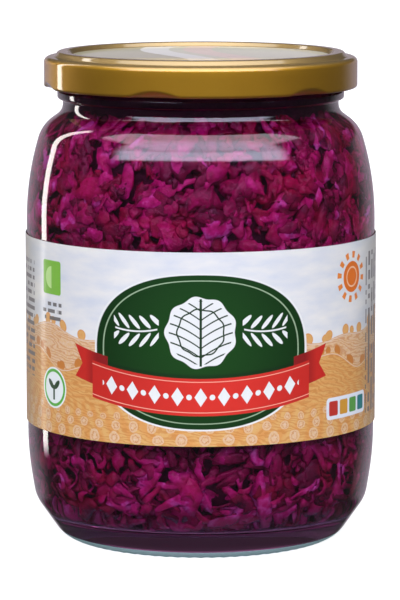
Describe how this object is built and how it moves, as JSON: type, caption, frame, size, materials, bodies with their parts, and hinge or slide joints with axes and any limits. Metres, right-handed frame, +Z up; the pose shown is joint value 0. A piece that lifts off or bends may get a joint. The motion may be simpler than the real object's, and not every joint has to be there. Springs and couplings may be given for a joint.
{
  "type": "jar of red cabbage",
  "caption": "Shut glass jar with a pressed metal twist-off lid and a wrap-round paper label, packed with shredded red cabbage; stands on its base ring.",
  "frame": {"origin": "middle of the base, on the surface that the jar stands on", "axes": "+Z up along the jar's axis; the label's front faces -Y, +X is to the viewer's right"},
  "size_m": [0.097, 0.0975, 0.1344],
  "materials": {
    "glass": "clear, smooth, slightly green at its thick base",
    "gold_lacquer": "gold-lacquered tinplate, satin gloss",
    "paper": "coated paper, printed in pale grey, orange tan, green and red",
    "red_cabbage": "wet cooked leaf, purple red"
  },
  "bodies": {
    "root": {"jar_glass": "glass", "lid": "gold_lacquer", "label": "paper", "cabbage": "red_cabbage"}
  },
  "joints": []
}
